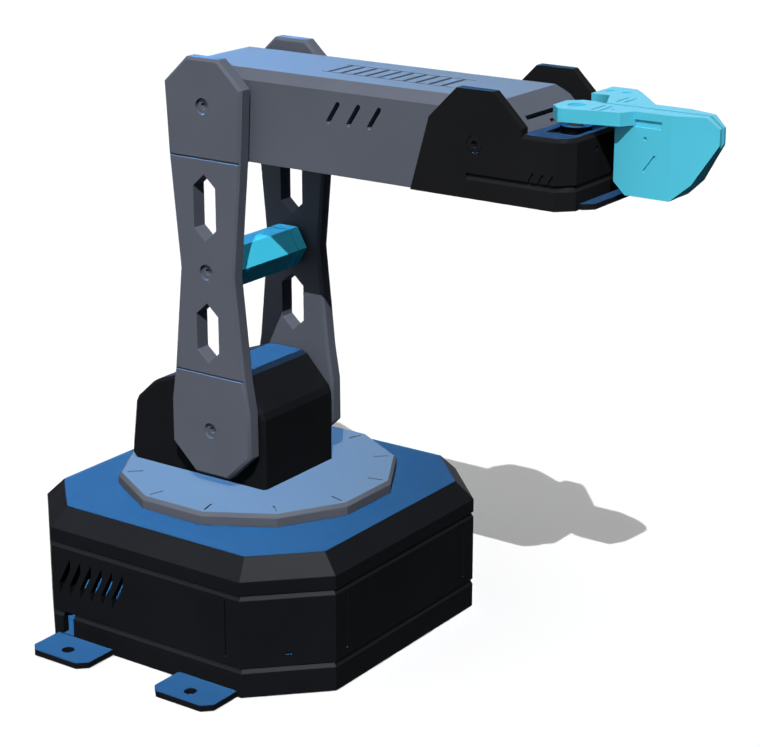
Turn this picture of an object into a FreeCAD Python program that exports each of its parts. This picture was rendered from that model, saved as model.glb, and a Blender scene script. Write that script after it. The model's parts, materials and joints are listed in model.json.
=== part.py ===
import FreeCAD, Part
import math
import os

# A desktop robot arm: a square base, a turntable, two upright links, a forearm, a wrist and a gripper.
# Lengths are in millimetres and angles in degrees. +Z is up and the arm reaches along +X at rest.
# The origin is on the table, under the axis that the turntable turns about.

Vector = FreeCAD.Vector

# Clearances shared by every fit
running_clear = 0.05        # round a shaft that turns in a bore, on the radius
thread_clear = 0.05         # round a screw or pin held in its hole, on the radius
hole_clear = 0.2            # round a screw that passes through, on the radius
seat_clear = 0.15           # beside a plate let into a recess
tip_clear = 0.5             # between a screw's tip and the end of its hole
head_recess = 0.4           # how far a hidden screw head lies below its face
past = 1.0                  # how far a cutter runs past the face that it opens

# Screws: a low socket head, a flat head and a headless pin
socket_radius = 1.5
socket_head_radius = 2.75
socket_head_height = 2.0
counterbore_radius = 3.0
flat_radius = 1.0
flat_head_radius = 1.9
flat_driver_radius = 0.9
driver_depth = 0.9          # how deep the hexagon socket goes into a head
socket_bite = 3.4           # how far a socket screw goes into what it holds

# Base: three stacked tiers, square, with the corners cut off
base_side = 140.0
base_corner_cut = 24.5
base_wall = 3.0
plate_height = 11.5
plate_floor = 2.6
body_height = 28.4
lid_rim_height = 5.2
lid_slope_height = 7.0
lid_slope_run = 6.8
lid_thick = 3.0
tier_bevel = 1.3
tier_groove = 0.8
post_radius = 5.0

# Bolt-down tabs along the two long sides of the base plate
tab_spacing = 59.6
tab_width = 27.7
tab_reach = 16.8
tab_thick = 2.3
tab_corner_cut = 3.5
tab_hole_radius = 2.4
tab_hole_reach = 9.7

# Slanted vents, cable notch and panel grooves in the base walls
vent_count = 6
vent_pitch = 5.28
vent_start = -42.1
vent_sill = 7.3
vent_upright = 4.15
vent_rise = 10.85
vent_run = 5.9
notch_center = -38.4
notch_width = 5.2
panel_groove_offset = 38.7
panel_groove_margin = 3.2
groove_width = 0.8
groove_depth = 0.7
corner_mark_width = 2.2
corner_mark_rise = 4.8

# Slots that let the motor cables into the shoulder housing and the forearm
cable_slot_length = 14.0
cable_slot_width = 6.5
housing_slot_rise = 10.0

# Controller board inside the base
board_length = 62.0
board_width = 44.0
board_thick = 1.6
board_shift = 32.0
standoff_height = 5.0
standoff_radius = 2.6
board_hole_inset = 4.0
chip_side = 14.0
chip_height = 1.4
header_count = 5
header_pitch = 9.0
header_height = 3.4
header_width = 2.6
header_length = 7.6
terminal_length = 10.0
terminal_width = 8.0
terminal_height = 4.6
capacitor_radius = 2.5
capacitor_height = 4.4
capacitor_pitch = 8.0

# Turntable and the ball ring under it
turntable_radius = 54.3
turntable_sides = 12
turntable_gap = 1.8
turntable_thick = 4.9
turntable_bevel_height = 1.4
turntable_bevel_run = 1.1
tick_inner = 45.0
tick_outer = 51.0
ball_radius = 2.5
ball_count = 24
ball_ring_radius = 44.0
ball_clear = 0.1
cage_thick = 1.2
cage_half_width = 4.4

# Motor units: the same case at the yaw, shoulder, elbow and wrist
servo_length = 34.0
servo_width = 15.0
servo_depth = 33.0
servo_shaft_inset = 7.5
servo_corner_cut = 1.5
servo_screw_reach = 9.3
servo_screw_spread = 9.6
servo_screw_bite = 5.0
shaft_radius = 2.9
shaft_seat = 8.0
horn_radius = 10.0
horn_thick = 2.0
hub_radius = 4.5
hub_lift = 0.4
hub_clear = 0.6
horn_screw_ring = 7.0
horn_screw_bite = 2.0
idler_radius = 3.0
idler_overrun = 1.0
bushing_radius = 4.5
bushing_flange_radius = 6.5
bushing_flange_thick = 1.0

# Shoulder housing, measured from the shoulder axis
shoulder_rise = 22.0
bay_half = 21.7
bay_wall = 2.5
housing_front = 19.9
housing_back = 46.7
housing_crown = 20.4
housing_front_slope = 13.3
housing_crown_front = 7.4
housing_crown_back = 9.1
housing_hip_back = 33.5
housing_hip_height = 11.8
housing_heel_back = 43.6
housing_heel_height = 2.6
housing_ease = 1.6
housing_edge_bevel = 1.2
housing_boss_radius = 4.0
housing_boss_height = 9.0
housing_boss_front = 12.0
housing_boss_back = 33.0
housing_boss_side = 14.8

# Links, as half widths at heights measured from the shoulder, the middle and the elbow
link_length = 123.0
link_gap = 1.05
link_thick = 6.3
link_bevel = 1.0
link_top_half = 7.2
link_top_rise = 17.3
link_head_half = 17.9
link_head_rise = 7.4
link_neck_half = 16.5
link_neck_drop = 19.1
link_waist_half = 12.6
link_knee_half = 16.6
link_knee_rise = 22.1
link_foot_half = 18.7
link_foot_rise = 9.4
link_heel_half = 18.8
link_heel_drop = 7.6
link_sole_half = 7.8
link_sole_drop = 18.1
link_counterbore_depth = 3.2
window_half = 5.1
window_tip = 4.5
window_offset = 11.8
upper_window_length = 24.8
lower_window_length = 22.9
spacer_radius = 8.75
spacer_neck_radius = 5.4
spacer_neck_length = 2.0
collar_length = 7.6
collar_groove = 0.4

# Forearm, measured from the elbow axis and, at its nose, from the wrist axis
forearm_reach = 114.2
forearm_back = 19.5
forearm_back_top_cut = 4.6
forearm_back_bottom_cut = 6.0
forearm_bottom = 19.5
forearm_side_top = 10.05
forearm_top = 13.55
forearm_top_half = 17.85
forearm_top_front = 4.0
nose_radius = 17.0
nose_back = 8.0
forearm_floor_thick = 2.4
floor_boss_radius = 3.5
floor_boss_side = 14.0
floor_boss_gap = 12.0
top_slot_count = 10
top_slot_start = 40.4
top_slot_pitch = 5.3
top_slot_width = 1.5
top_slot_half = 7.1
top_slot_depth = 0.8
top_line_start = 37.5
top_line_end = 92.6
top_line_side = 7.6
top_line_width = 0.6
top_line_depth = 0.4
side_slot_count = 3
side_slot_start = 50.5
side_slot_low = 0.8
side_slot_pitch = 8.7
side_slot_run = 4.2
side_slot_rise = 6.5
side_slot_width = 1.7
nose_slot_half = 11.5
nose_slot_drop = 8.75
nose_slot_width = 1.6
nose_notch_half = 1.8
nose_notch_side = 1.9
nose_notch_drop = 12.2
nose_notch_width = 1.3

# Wrist bracket, measured from the wrist axis
wrist_gap = 0.7
cheek_gap = 1.8
cheek_thick = 3.8
cheek_boss_wall = 1.6
cheek_back = 25.3
cheek_shoulder_back = 18.0
cheek_shoulder_rise = 7.3
cheek_top = 18.2
cheek_top_back = 7.1
cheek_top_front = 7.1
cheek_counterbore_depth = 2.1
block_back = 18.2
block_front = 36.0
block_bottom = 18.5
ledge_rise = 5.3
block_corner_cut = 5.1
block_edge_bevel = 1.2
band_start = -3.1
band_top = 9.9
band_height = 2.25
band_depth = 1.3
wrist_floor_thick = 2.0
lip_front = 40.2
lip_half = 19.6
lip_corner_cut = 3.0
wrist_floor_screw_inset = 3.2
wrist_floor_screw_side = 16.6
peep_hole_radius = 0.9
peep_hole_depth = 1.6
peep_hole_side = 9.3
cheek_tick_count = 3
cheek_tick_start = 21.2
cheek_tick_pitch = 3.7
cheek_tick_low = 9.8
cheek_tick_rise = 2.6
cheek_tick_run = 1.4

# Gripper motor in the bracket's block
gripper_reach = 27.2
gripper_side = 7.84
micro_length = 22.5
micro_width = 10.8
micro_depth = 19.0
micro_drop = 1.2
micro_pocket_clear = 0.2
micro_ear = 4.4
micro_ear_thick = 2.2
micro_ear_drop = 4.5
micro_screw_bite = 5.0
turret_radius = 5.3
turret_rise = 1.25
gripper_shaft_radius = 2.5
gripper_shaft_seat = 6.0

# Jaws, measured from the wrist axis along the reach and from the middle across it
jaw_top = 13.2
jaw_lever_bottom = 8.7
jaw_back = 41.1
jaw_back_low = 10.6
jaw_heel = 45.5
jaw_bottom = 14.8
jaw_toe = 61.6
jaw_chin = 68.2
jaw_chin_low = 8.9
jaw_tip = 76.3
jaw_tip_low = 4.4
jaw_tip_high = 9.7
jaw_brow = 71.8
jaw_thick = 7.0
jaw_tip_thick = 2.1
jaw_taper_start = 61.5
jaw_seam = 0.7
lever_back = 6.4
lever_half = 8.4
lever_corner = 4.1
lever_end_half = 11.8
lever_end = 45.5
lever_hole_radius = 3.0
lever_hole_depth = 3.2
center_screw_radius = 1.2
center_screw_length = 6.0
wing_back = 21.2
wing_side = 27.0
wing_inner = 12.3
wing_inner_front = 28.2
wing_corner_front = 30.6
wing_corner_cut = 4.4
wing_end = 48.3
pin_radius = 1.5
pin_recess = 0.8
pin_depth = 5.0
pin_front = 30.5
pin_pitch = 6.1
pin_side = 19.8
jaw_slot_start = 48.3
jaw_slot_length = 9.8
jaw_slot_high = 10.7
jaw_slot_height = 2.5
jaw_mark_depth = 0.7
jaw_dot_radius = 0.6
jaw_dot_front = 52.3
jaw_dot_rise = 4.7
jaw_slash_front = 55.8
jaw_slash_rise = -0.8
jaw_slash_run = 3.7
jaw_slash_drop = 5.2
lever_groove_front = 35.4
lever_groove_pitch = 2.8
lever_groove_inner = 3.8
lever_groove_outer = 12.5
lever_dot_front = 40.8
lever_dot_side = 8.2

# Heights and places that follow from the sizes above
body_bottom = plate_height
body_top = body_bottom + body_height
lid_rim_top = body_top + lid_rim_height
lid_top = lid_rim_top + lid_slope_height
lid_under = lid_top - lid_thick
turntable_bottom = lid_top + turntable_gap
turntable_top = turntable_bottom + turntable_thick
shoulder_z = turntable_top + shoulder_rise
elbow_z = shoulder_z + link_length
middle_z = shoulder_z + link_length / 2
wrist_x = forearm_reach
base_half = base_side / 2
corner_reach = (base_side - base_corner_cut) / math.sqrt(2)
post_reach = corner_reach - base_wall / 2 - post_radius
link_in = bay_half + link_gap
link_out = link_in + link_thick
wrist_in = bay_half + wrist_gap
cheek_in = bay_half + cheek_gap
cheek_out = cheek_in + cheek_thick
bay_in = bay_half - bay_wall
arm_reach = bay_wall + link_gap
wrist_reach = bay_wall + wrist_gap
yaw_reach = lid_thick + turntable_gap
gripper_x = wrist_x + gripper_reach
ledge_z = elbow_z + ledge_rise

up = Vector(0, 0, 1)
down = Vector(0, 0, -1)
forward = Vector(1, 0, 0)
backward = Vector(-1, 0, 0)
near = Vector(0, -1, 0)
far = Vector(0, 1, 0)


# Basic solids

def place(axis, pair, along):
    first, second = pair
    return {"X": Vector(along, first, second),
            "Y": Vector(first, along, second),
            "Z": Vector(first, second, along)}[axis]


def prism(axis, outline, low, high):
    corners = [place(axis, pair, low) for pair in outline]
    face = Part.Face(Part.makePolygon(corners + corners[:1]))
    return face.extrude(place(axis, (0, 0), high - low))


def rod(axis, center, radius, low, high):
    return Part.makeCylinder(radius, high - low, place(axis, center, low), place(axis, (0, 0), 1))


def block(x_low, x_high, y_low, y_high, z_low, z_high):
    return Part.makeBox(x_high - x_low, y_high - y_low, z_high - z_low, Vector(x_low, y_low, z_low))


def joined(shapes):
    whole = shapes[0]
    for shape in shapes[1:]:
        whole = whole.fuse(shape)
    return whole.removeSplitter()


def cut_all(shape, tools):
    for tool in tools:
        shape = shape.cut(tool)
    return shape.removeSplitter()


def mirrored(shape):
    return shape.mirror(Vector(0, 0, 0), far)


def shrunk(outline, inset):
    corners = [Vector(a, b, 0) for a, b in outline]
    wire = Part.makePolygon(corners + corners[:1]).makeOffset2D(-inset, 2)
    return [(vertex.X, vertex.Y) for vertex in wire.OrderedVertexes]


# Replaces one corner of an outline by a short facet
def eased(before, corner, after, amount):
    points = []
    for other in (before, after):
        length = math.dist(corner, other)
        share = amount / length
        points.append(tuple(c + (o - c) * share for c, o in zip(corner, other)))
    return points


# A solid between pairs of upright faces, each pair given as an angle and a distance from the axis.
# The steps give the height and how far the faces have come in there.
def faceted(faces, steps):
    widest = 2 * max(distance for angle, distance in faces)
    solid = None
    for angle, distance in faces:
        right = [(distance - inset, z) for z, inset in steps]
        left = [(-u, z) for u, z in reversed(right)]
        slab = prism("Y", right + left, -widest, widest)
        slab.rotate(Vector(0, 0, 0), up, angle)
        solid = slab if solid is None else solid.common(slab)
    return solid.removeSplitter()


def base_faces(inset):
    return [(0, base_half - inset), (90, base_half - inset),
            (45, corner_reach - inset), (135, corner_reach - inset)]


def edges_on(shape, coordinate, value):
    return [edge for edge in shape.Edges
            if all(abs(getattr(vertex, coordinate) - value) < 1e-6 for vertex in edge.Vertexes)]


# Moves a piece drawn about the local Z axis to a pivot: outward is its Z and along is its X
def seated(shape, origin, outward, along):
    turn = FreeCAD.Rotation(along, outward.cross(along), outward, "ZXY")
    moved = shape.copy()
    moved.Placement = FreeCAD.Placement(origin, turn).multiply(shape.Placement)
    return moved


def hexagon(radius, turn):
    return [(radius * math.cos(math.radians(turn + 60 * k)), radius * math.sin(math.radians(turn + 60 * k)))
            for k in range(6)]


# A straight groove or slot cutter between two points of a flat side, with round ends
def slot_cutter(axis, start, end, width, low, high):
    run, rise = end[0] - start[0], end[1] - start[1]
    length = math.hypot(run, rise)
    side = (-rise / length * width / 2, run / length * width / 2)
    corners = [(start[0] + side[0], start[1] + side[1]), (end[0] + side[0], end[1] + side[1]),
               (end[0] - side[0], end[1] - side[1]), (start[0] - side[0], start[1] - side[1])]
    ends = [rod(axis, point, width / 2, low, high) for point in (start, end)]
    return joined([prism(axis, corners, low, high)] + ends)


# Screws, drawn with the head's seat at the origin and the shank along -Z

def driver_socket(radius, top):
    return prism("Z", hexagon(radius, 0), top - driver_depth, top + past)


def socket_screw(length, radius=socket_radius, head=socket_head_radius):
    screw = joined([rod("Z", (0, 0), head, 0, socket_head_height), rod("Z", (0, 0), radius, -length, 0)])
    return screw.cut(driver_socket(head / 2, socket_head_height))


def flat_screw(length):
    cone = Part.makeCone(flat_radius, flat_head_radius, flat_head_radius - flat_radius,
                         Vector(0, 0, flat_radius - flat_head_radius), up)
    screw = joined([cone, rod("Z", (0, 0), flat_radius, -length, flat_radius - flat_head_radius)])
    return screw.cut(driver_socket(flat_driver_radius, 0))


# Room for a flat screw that clamps one piece, down to the given depth
def flat_hole(depth):
    wide = flat_radius + thread_clear
    head = flat_head_radius + thread_clear
    cone = Part.makeCone(wide, head, head - wide, Vector(0, 0, wide - head), up)
    return joined([cone, rod("Z", (0, 0), wide, -depth, wide - head), rod("Z", (0, 0), head, 0, past)])


# Motor units, drawn with the output side at local height 0 and the shaft along +Z

def servo_screw_places():
    return [(-servo_screw_reach, side * servo_screw_spread / 2) for side in (-1, 1)]


def servo_case():
    case = block(servo_shaft_inset - servo_length, servo_shaft_inset,
                 -servo_width / 2, servo_width / 2, -servo_depth, 0)
    upright = [edge for edge in case.Edges if abs(edge.tangentAt(edge.FirstParameter).z) > 0.9]
    case = case.makeChamfer(servo_corner_cut, upright)
    bores = [rod("Z", (0, 0), shaft_radius + running_clear, -shaft_seat, past)]
    for spot in servo_screw_places():
        bores.append(rod("Z", spot, flat_radius + thread_clear, -servo_screw_bite - tip_clear, past))
    return cut_all(case, bores)


# Where the hole for the screw along a pivot's axis ends
def screw_hole_end(top):
    return top - horn_thick - socket_bite - tip_clear


def output_shaft(reach):
    top = reach + horn_thick
    shaft = rod("Z", (0, 0), shaft_radius, hub_lift - shaft_seat, top)
    return shaft.cut(rod("Z", (0, 0), socket_radius + thread_clear, screw_hole_end(top), top + past))


def horn_screw_places():
    return [(horn_screw_ring * math.cos(math.radians(45 + 90 * k)),
             horn_screw_ring * math.sin(math.radians(45 + 90 * k))) for k in range(4)]


def flange_holes(reach):
    cutter = flat_hole(horn_thick + past)
    return [seated(cutter, Vector(x, y, reach), down, forward) for x, y in horn_screw_places()]


def servo_horn(reach):
    horn = joined([rod("Z", (0, 0), hub_radius, hub_lift, reach),
                   rod("Z", (0, 0), horn_radius, reach, reach + horn_thick)])
    bore = rod("Z", (0, 0), shaft_radius + thread_clear, 0, reach + horn_thick + past)
    return cut_all(horn, [bore] + flange_holes(reach))


def idler_hub(reach):
    top = reach + horn_thick
    hub = joined([rod("Z", (0, 0), idler_radius, -idler_overrun, reach),
                  rod("Z", (0, 0), horn_radius, reach, top)])
    bore = rod("Z", (0, 0), socket_radius + thread_clear, screw_hole_end(top), top + past)
    return cut_all(hub, [bore] + flange_holes(reach))


def bushing():
    body = joined([rod("Z", (0, 0), bushing_radius, 0, bay_wall),
                   rod("Z", (0, 0), bushing_flange_radius, -bushing_flange_thick, 0)])
    bore = rod("Z", (0, 0), idler_radius + running_clear, -bushing_flange_thick - past, bay_wall + past)
    return body.cut(bore)


def horn_screws(reach):
    screw = flat_screw(horn_thick + horn_screw_bite)
    return [seated(screw, Vector(x, y, reach), down, forward) for x, y in horn_screw_places()]


# Recess and screw holes that a link, cheek or disc needs to carry a horn or an idler
def flange_seat(reach):
    cutters = [rod("Z", (0, 0), horn_radius + seat_clear, reach - past, reach + horn_thick)]
    depth = reach + horn_thick + horn_screw_bite + tip_clear
    for spot in horn_screw_places():
        cutters.append(rod("Z", spot, flat_radius + thread_clear, reach, depth))
    return cutters


def servo_screws(wall):
    screw = flat_screw(wall + servo_screw_bite)
    return [seated(screw, Vector(x, y, wall), up, forward) for x, y in servo_screw_places()]


# Holes in the wall that a motor is clamped against
def servo_wall_holes(wall):
    holes = [rod("Z", (0, 0), hub_radius + hub_clear, -past, wall + past)]
    for x, y in servo_screw_places():
        holes.append(seated(flat_hole(wall + past), Vector(x, y, wall), up, forward))
    return holes


def bushing_wall_hole():
    return rod("Z", (0, 0), bushing_radius + thread_clear, -past, bay_wall + past)


# The four motor seats and the three idler seats, each as origin, outward and along
yaw_seat = (Vector(0, 0, lid_under), up, forward)
shoulder_seat = (Vector(0, -bay_in, shoulder_z), near, forward)
elbow_seat = (Vector(0, -bay_in, elbow_z), near, backward)
wrist_seat = (Vector(wrist_x, -bay_in, elbow_z), near, forward)
shoulder_far_seat = (Vector(0, bay_in, shoulder_z), far, forward)
elbow_far_seat = (Vector(0, bay_in, elbow_z), far, forward)
wrist_far_seat = (Vector(wrist_x, bay_in, elbow_z), far, forward)


def at(seat, shapes):
    return [seated(shape, *seat) for shape in shapes]


# Base

def post_places():
    step = post_reach / math.sqrt(2)
    return [(x * step, y * step) for x in (-1, 1) for y in (-1, 1)]


def posts(low, high):
    return [rod("Z", spot, post_radius, low, high) for spot in post_places()]


def tab(x_side, y_side):
    half = tab_width / 2
    middle = x_side * tab_spacing / 2
    root = base_half - base_wall
    tip = base_half + tab_reach
    outline = [(middle - half, root), (middle + half, root), (middle + half, tip - tab_corner_cut),
               (middle + half - tab_corner_cut, tip), (middle - half + tab_corner_cut, tip),
               (middle - half, tip - tab_corner_cut)]
    hole_center = (middle, base_half + tab_hole_reach)
    plate = prism("Z", outline, 0, tab_thick)
    plate = plate.cut(rod("Z", hole_center, tab_hole_radius, -past, tab_thick + past))
    return mirrored(plate) if y_side < 0 else plate


def base_screw_seat():
    return socket_head_height + head_recess


# A tier's wall slopes in at the top and ends in a short upright step, so a dark line parts the tiers
def tier_steps(low, high):
    return [(low, 0), (high - tier_groove - tier_bevel, 0), (high - tier_groove, tier_bevel),
            (high, tier_bevel)]


def base_plate():
    shell = faceted(base_faces(0), tier_steps(0, plate_height))
    shell = shell.cut(faceted(base_faces(base_wall), [(plate_floor, 0), (plate_height + past, 0)]))
    shell = joined([shell] + posts(plate_floor / 2, plate_height))
    shell = joined([shell] + [tab(x_side, y_side) for x_side in (-1, 1) for y_side in (-1, 1)])
    cutters = [block(notch_center - notch_width / 2, notch_center + notch_width / 2,
                     -base_half - past, -base_half + base_wall + past, plate_floor, plate_height + past)]
    for spot in post_places():
        cutters.append(rod("Z", spot, socket_radius + hole_clear, -past, plate_height + past))
        cutters.append(rod("Z", spot, counterbore_radius, -past, base_screw_seat()))
    return cut_all(shell, cutters)


def vent_cutter(index):
    x = vent_start + index * vent_pitch
    low = body_bottom + vent_sill
    outline = [(x, low), (x + vent_run, low + vent_rise),
               (x + vent_run, low + vent_rise + vent_upright), (x, low + vent_upright)]
    return prism("Y", outline, -base_half - past, -base_half + base_wall + past)


# An upright groove in one wall, drawn on the wall that faces -Y and turned into place
def panel_groove(offset, turn):
    cutter = block(offset - groove_width / 2, offset + groove_width / 2, -base_half - past,
                   -base_half + groove_depth, body_bottom + panel_groove_margin,
                   body_top - panel_groove_margin)
    cutter.rotate(Vector(0, 0, 0), up, turn)
    return cutter


# A short mark low on the corner face between the two sides that are seen together
def corner_mark():
    z = body_bottom + corner_mark_rise
    cutter = block(-corner_mark_width / 2, corner_mark_width / 2, -corner_reach - past,
                   -corner_reach + groove_depth, z - groove_width / 2, z + groove_width / 2)
    cutter.rotate(Vector(0, 0, 0), up, 45)
    return cutter


def base_body():
    shell = faceted(base_faces(0), tier_steps(body_bottom, body_top))
    shell = shell.cut(faceted(base_faces(base_wall), [(body_bottom - past, 0), (body_top + past, 0)]))
    shell = joined([shell] + posts(body_bottom, body_top))
    cutters = [vent_cutter(index) for index in range(vent_count)]
    cutters += [corner_mark(), panel_groove(panel_groove_offset, 0)]
    cutters += [panel_groove(side * panel_groove_offset, turn) for turn in (90, 180, 270) for side in (-1, 1)]
    cutters += [rod("Z", spot, socket_radius + hole_clear, body_bottom - past, body_top + past)
                for spot in post_places()]
    return cut_all(shell, cutters)


def ball_groove():
    middle = (lid_top + turntable_bottom) / 2
    return Part.makeTorus(ball_ring_radius, ball_radius + ball_clear, Vector(0, 0, middle), up)


def base_lid():
    steps = [(body_top, 0), (lid_rim_top, 0), (lid_top, lid_slope_run)]
    lid = faceted(base_faces(0), steps)
    inner_run = lid_slope_run * (lid_under - lid_rim_top) / lid_slope_height
    inside = [(body_top - past, 0), (lid_rim_top, 0), (lid_under, inner_run)]
    lid = lid.cut(faceted(base_faces(base_wall), inside))
    solid_lid = faceted(base_faces(base_wall / 2), [(body_top, 0), (lid_rim_top, 0), (lid_under, inner_run)])
    lid = joined([lid] + [post.common(solid_lid) for post in posts(body_top, lid_under)])
    cutters = [rod("Z", spot, socket_radius + thread_clear, body_top - past, lid_rim_top + past)
               for spot in post_places()]
    cutters += at(yaw_seat, servo_wall_holes(lid_thick)) + [ball_groove()]
    return cut_all(lid, cutters)


def base_screws():
    screw = socket_screw(lid_rim_top - base_screw_seat())
    return [seated(screw, Vector(x, y, base_screw_seat()), down, forward) for x, y in post_places()]


def ring_places(count, radius):
    return [(radius * math.cos(2 * math.pi * k / count), radius * math.sin(2 * math.pi * k / count))
            for k in range(count)]


def bearing_balls():
    middle = (lid_top + turntable_bottom) / 2
    return [Part.makeSphere(ball_radius, Vector(x, y, middle))
            for x, y in ring_places(ball_count, ball_ring_radius)]


def ball_cage():
    low = lid_top + (turntable_gap - cage_thick) / 2
    high = low + cage_thick
    cage = rod("Z", (0, 0), ball_ring_radius + cage_half_width, low, high)
    cutters = [rod("Z", (0, 0), ball_ring_radius - cage_half_width, low - past, high + past)]
    cutters += [rod("Z", spot, ball_radius + ball_clear, low - past, high + past)
                for spot in ring_places(ball_count, ball_ring_radius)]
    return cut_all(cage, cutters)


# Controller board, standing on the base floor beside the yaw motor

board_bottom = plate_floor + standoff_height
board_top = board_bottom + board_thick
board_front = -board_shift + board_width / 2
board_back = -board_shift - board_width / 2


def board_hole_places():
    x = board_length / 2 - board_hole_inset
    return [(side * x, y) for side in (-1, 1) for y in (board_front - board_hole_inset,
                                                         board_back + board_hole_inset)]


def controller_board():
    board = block(-board_length / 2, board_length / 2, board_back, board_front, board_bottom, board_top)
    holes = [rod("Z", spot, flat_radius + hole_clear, board_bottom - past, board_top + past)
             for spot in board_hole_places()]
    return cut_all(board, holes)


def board_standoffs():
    bore = rod("Z", (0, 0), flat_radius + thread_clear, plate_floor + tip_clear, board_bottom + past)
    post = prism("Z", hexagon(standoff_radius, 0), plate_floor, board_bottom).cut(bore)
    return [post.translated(Vector(x, y, 0)) for x, y in board_hole_places()]


def board_screws():
    length = board_thick + standoff_height - 2 * tip_clear
    screw = joined([rod("Z", (0, 0), flat_head_radius, 0, flat_head_radius / 2),
                    rod("Z", (0, 0), flat_radius, -length, 0)])
    return [screw.translated(Vector(x, y, board_top)) for x, y in board_hole_places()]


def controller_chip():
    half = chip_side / 2
    return block(-half, half, -board_shift - half, -board_shift + half, board_top, board_top + chip_height)


def servo_headers():
    y = board_front - header_length
    low = -(header_count - 1) * header_pitch / 2
    return [block(low + k * header_pitch - header_width / 2, low + k * header_pitch + header_width / 2,
                  y - header_length / 2, y + header_length / 2, board_top, board_top + header_height)
            for k in range(header_count)]


def power_terminal():
    x = -board_length / 2 + board_hole_inset
    y = -board_shift
    return block(x - terminal_width / 2, x + terminal_width / 2, y - terminal_length / 2,
                 y + terminal_length / 2, board_top, board_top + terminal_height)


def capacitors():
    y = board_back + board_hole_inset + capacitor_radius
    top = board_top + capacitor_height
    return [rod("Z", (side * capacitor_pitch / 2, y), capacitor_radius, board_top, top) for side in (-1, 1)]


# Turntable

def housing_boss_places():
    return [(x, side * housing_boss_side)
            for x in (housing_boss_front, -housing_boss_back) for side in (-1, 1)]


def turntable_disc():
    count = turntable_sides // 2
    distance = turntable_radius * math.cos(math.pi / turntable_sides)
    faces = [(k * 180 / count, distance) for k in range(count)]
    steps = [(turntable_bottom, 0), (turntable_top - turntable_bevel_height, 0),
             (turntable_top, turntable_bevel_run)]
    disc = faceted(faces, steps)
    cutters = at(yaw_seat, flange_seat(yaw_reach)) + [ball_groove()]
    for k in range(turntable_sides):
        tick = block(tick_inner, tick_outer, -groove_width / 2, groove_width / 2,
                     turntable_top - groove_depth, turntable_top + past)
        tick.rotate(Vector(0, 0, 0), up, (k + 0.5) * 360 / turntable_sides)
        cutters.append(tick)
    below = turntable_bottom - past
    for x, y in housing_boss_places():
        cutters.append(rod("Z", (x, y), socket_radius + hole_clear, below, turntable_top + past))
        cutters.append(rod("Z", (x, y), counterbore_radius, below, housing_screw_seat()))
    cutters.append(rod("Z", (0, 0), socket_radius + hole_clear, turntable_bottom, turntable_top + past))
    return cut_all(disc, cutters)


def housing_screw_seat():
    return turntable_bottom + socket_head_height + head_recess


def housing_screws():
    screw = socket_screw(turntable_top - housing_screw_seat() + socket_bite)
    return [seated(screw, Vector(x, y, housing_screw_seat()), down, forward)
            for x, y in housing_boss_places()]


def yaw_center_screw():
    return seated(socket_screw(turntable_thick - horn_thick + socket_bite), Vector(0, 0, turntable_top),
                  up, forward)


def housing_outline():
    low = turntable_top
    z = shoulder_z
    bottom_front = (housing_front, low)
    brow = (housing_front, z + housing_crown - housing_front_slope)
    crown_front = (housing_crown_front, z + housing_crown)
    crown_back = (-housing_crown_back, z + housing_crown)
    hip = (-housing_hip_back, z + housing_hip_height)
    heel = (-housing_heel_back, z + housing_heel_height)
    bottom_back = (-housing_back, low)
    return ([bottom_front] + eased(bottom_front, brow, crown_front, housing_ease)
            + eased(brow, crown_front, crown_back, housing_ease) + [crown_back]
            + eased(crown_back, hip, heel, housing_ease) + eased(hip, heel, bottom_back, housing_ease)
            + eased(heel, bottom_back, bottom_front, housing_ease))


def shoulder_housing():
    outline = housing_outline()
    shell = prism("Y", outline, -bay_half, bay_half)
    edges = [edge for side in (-bay_half, bay_half) for edge in edges_on(shell, "Y", side)
             if edge.CenterOfMass.z > turntable_top + 1e-6]
    shell = shell.makeChamfer(housing_edge_bevel, edges)
    room = shrunk(outline, bay_wall)
    floor_front = housing_front - bay_wall
    floor_back = -housing_back + housing_ease + bay_wall
    inside = joined([prism("Y", room, -bay_in, bay_in),
                     block(floor_back, floor_front, -bay_in, bay_in, turntable_top - past,
                           turntable_top + 2 * bay_wall)])
    bosses = [rod("Z", spot, housing_boss_radius, turntable_top, turntable_top + housing_boss_height)
              for spot in housing_boss_places()]
    shell = joined([shell.cut(inside)] + boss_ribs(bosses))
    cutters = [rod("Z", spot, socket_radius + thread_clear, turntable_top - past,
                   turntable_top + socket_bite + tip_clear) for spot in housing_boss_places()]
    cutters.append(rod("Z", (0, 0), socket_head_radius + hole_clear, turntable_top - past,
                       turntable_top + socket_head_height + past))
    cutters += at(shoulder_seat, servo_wall_holes(bay_wall)) + at(shoulder_far_seat, [bushing_wall_hole()])
    cutters.append(housing_cable_slot())
    return cut_all(shell, cutters)


# The cable slot in the back wall, behind the motor
def housing_cable_slot():
    z = turntable_top + housing_slot_rise
    return block(-housing_back - past, -housing_heel_back + bay_wall + past, -cable_slot_length / 2,
                 cable_slot_length / 2, z - cable_slot_width / 2, z + cable_slot_width / 2)


# Each boss gets a rib that ties it to the side wall beside it
def boss_ribs(bosses):
    ribs = []
    for x, y in housing_boss_places():
        wall = math.copysign(bay_in + bay_wall / 2, y)
        ribs.append(block(x - bay_wall / 2, x + bay_wall / 2, min(y, wall), max(y, wall), turntable_top,
                          turntable_top + housing_boss_height))
    return bosses + ribs


# Links

def link_outline():
    right = [(link_top_half, elbow_z + link_top_rise), (link_head_half, elbow_z + link_head_rise),
             (link_neck_half, elbow_z - link_neck_drop), (link_waist_half, middle_z),
             (link_knee_half, shoulder_z + link_knee_rise), (link_foot_half, shoulder_z + link_foot_rise),
             (link_heel_half, shoulder_z - link_heel_drop), (link_sole_half, shoulder_z - link_sole_drop)]
    return right + [(-x, z) for x, z in reversed(right)]


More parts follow.
